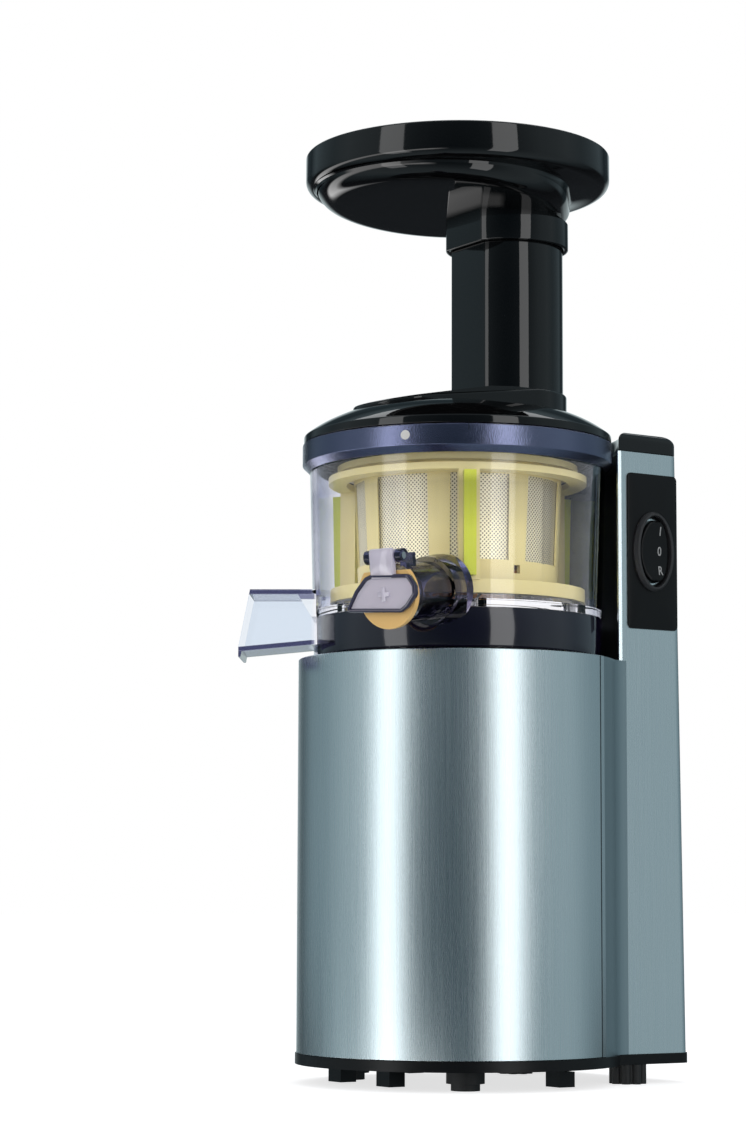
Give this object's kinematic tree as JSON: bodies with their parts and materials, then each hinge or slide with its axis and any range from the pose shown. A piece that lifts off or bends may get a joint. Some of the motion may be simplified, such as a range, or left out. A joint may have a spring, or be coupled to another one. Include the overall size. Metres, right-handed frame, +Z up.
{
  "type": "vertical slow juicer",
  "caption": "Vertical slow juicer: steel drum base with column and switch, clear bowl with strainer, brush and auger, spouts, lid with feed tube, wide hopper.",
  "frame": {"origin": "middle of the footprint on the surface the feet stand on; the drum axis stands at X -1.61 mm, Y -3.10 mm", "axes": "+Z up, +Y to the rear column, +X to the side with the rocker switch and the juice spout"},
  "size_m": [0.1476, 0.1846, 0.4155],
  "materials": {
    "brushed_steel": "fine vertical brushing",
    "satin_black": "satin moulded",
    "gloss_black": "polished moulded",
    "dark_inner_plastic": "plain moulded",
    "black_rubber": "plain",
    "smoke_clear": "polished clear",
    "violet_silicone": "plain",
    "amber_plastic": "satin moulded",
    "cream_plastic": "satin moulded",
    "lime_silicone": "plain",
    "peach_silicone": "plain",
    "fine_mesh_steel": "photo-etched sheet",
    "machined_steel": "ground",
    "zinc_screws": "plain",
    "cast_aluminium": "as cast",
    "core_steel": "laminated",
    "copper_coil": "enamelled wire",
    "white_acetal": "plain",
    "green_board": "coated",
    "grey_part": "plain",
    "bronze_bush": "plain",
    "magnet_grey": "plated"
  },
  "bodies": {
    "stand": {"base_plate": "satin_black", "rubber_feet": "black_rubber", "base_screws": "zinc_screws", "front_wrap": "brushed_steel", "column_wrap": "brushed_steel", "drum_chassis": "dark_inner_plastic", "column_frame": "satin_black", "column_cap": "gloss_black", "top_deck": "satin_black", "deck_screws": "zinc_screws", "shaft_seal": "black_rubber", "switch_plate": "satin_black", "switch_bezel": "satin_black", "switch_body": "dark_inner_plastic", "stator_core": "core_steel", "field_coils": "copper_coil", "motor_bracket": "cast_aluminium", "motor_bolts": "zinc_screws", "rotor_bearings": "machined_steel", "gearbox_case": "cast_aluminium", "gearbox_cover": "cast_aluminium", "gearbox_screws": "zinc_screws", "layshaft_pins": "machined_steel", "shaft_bearings": "machined_steel", "control_board": "green_board", "run_capacitor": "grey_part", "reed_switch": "grey_part", "cord_inlet": "black_rubber", "wiring_loom": "grey_part"},
    "motor_rotor": {"rotor": "core_steel", "motor_fan": "dark_inner_plastic"},
    "first_cluster": {"first_cluster_gear": "white_acetal"},
    "second_cluster": {"second_cluster_gear": "white_acetal"},
    "output_shaft": {"drive_shaft": "machined_steel", "output_gear": "white_acetal"},
    "rocker": {"switch_rocker": "gloss_black"},
    "juicing_bowl": {"bowl": "smoke_clear", "bowl_seal": "violet_silicone", "pulp_gasket": "violet_silicone", "idler_pin": "machined_steel", "strainer_frame": "cream_plastic", "strainer_mesh": "fine_mesh_steel", "cap_hinge_pin": "machined_steel"},
    "idler": {"idler_gear": "white_acetal"},
    "brush": {"brush_frame": "cream_plastic", "wiper_blades": "lime_silicone"},
    "juicing_auger": {"auger": "amber_plastic", "auger_gear": "amber_plastic", "auger_socket": "machined_steel"},
    "spout_cap": {"juice_cap": "smoke_clear", "juice_plug": "peach_silicone"},
    "top_lid": {"lid": "gloss_black", "lid_seal": "violet_silicone", "auger_bush": "bronze_bush", "lid_magnet": "magnet_grey"},
    "feed_hopper": {"hopper": "gloss_black"}
  },
  "joints": [
    {"name": "rotor_spin", "type": "hinge", "parent": "stand", "child": "motor_rotor", "pos_m": [-0.00227, -0.0031, 0.15], "axis": [0, 0, 1], "continuous": true},
    {"name": "first_cluster_spin", "type": "hinge", "parent": "stand", "child": "first_cluster", "pos_m": [-0.03046, -0.01336, 0.15], "axis": [0, 0, 1], "continuous": true},
    {"name": "second_cluster_spin", "type": "hinge", "parent": "stand", "child": "second_cluster", "pos_m": [-0.00457, -0.03301, 0.15], "axis": [0, 0, 1], "continuous": true},
    {"name": "shaft_spin", "type": "hinge", "parent": "stand", "child": "output_shaft", "pos_m": [-0.00227, -0.0031, 0.15], "axis": [0, 0, 1], "continuous": true},
    {"name": "rocker_tilt", "type": "hinge", "parent": "stand", "child": "rocker", "pos_m": [0.04233, 0.0699, 0.2355], "axis": [0, 1, 0], "range_deg": [-7, 7]},
    {"name": "bowl_lift", "type": "slide", "parent": "stand", "child": "juicing_bowl", "axis": [0, 0, 1], "range_m": [0, 0.09]},
    {"name": "idler_spin", "type": "hinge", "parent": "juicing_bowl", "child": "idler", "pos_m": [-0.00227, 0.0339, 0.23], "axis": [0, 0, 1], "continuous": true},
    {"name": "brush_spin", "type": "hinge", "parent": "juicing_bowl", "child": "brush", "pos_m": [-0.00227, -0.0031, 0.23], "axis": [0, 0, 1], "continuous": true},
    {"name": "auger_spin", "type": "hinge", "parent": "juicing_bowl", "child": "juicing_auger", "pos_m": [-0.00227, -0.0031, 0.23], "axis": [0, 0, 1], "continuous": true},
    {"name": "cap_swing", "type": "hinge", "parent": "juicing_bowl", "child": "spout_cap", "pos_m": [0.05751, -0.08147, 0.22209], "axis": [-0.9397, -0.342, 0], "range_deg": [0, 100]},
    {"name": "lid_lift", "type": "slide", "parent": "juicing_bowl", "child": "top_lid", "axis": [0, 0, 1], "range_m": [0, 0.12]},
    {"name": "hopper_lift", "type": "slide", "parent": "top_lid", "child": "feed_hopper", "axis": [0, 0, 1], "range_m": [0, 0.06]}
  ],
  "couplings": [
    {"joint": "first_cluster_spin", "follows": "rotor_spin", "ratio": -0.25},
    {"joint": "second_cluster_spin", "follows": "rotor_spin", "ratio": 0.083333},
    {"joint": "shaft_spin", "follows": "rotor_spin", "ratio": -0.035714},
    {"joint": "auger_spin", "follows": "rotor_spin", "ratio": -0.035714},
    {"joint": "idler_spin", "follows": "rotor_spin", "ratio": 0.065934},
    {"joint": "brush_spin", "follows": "rotor_spin", "ratio": 0.017143}
  ]
}
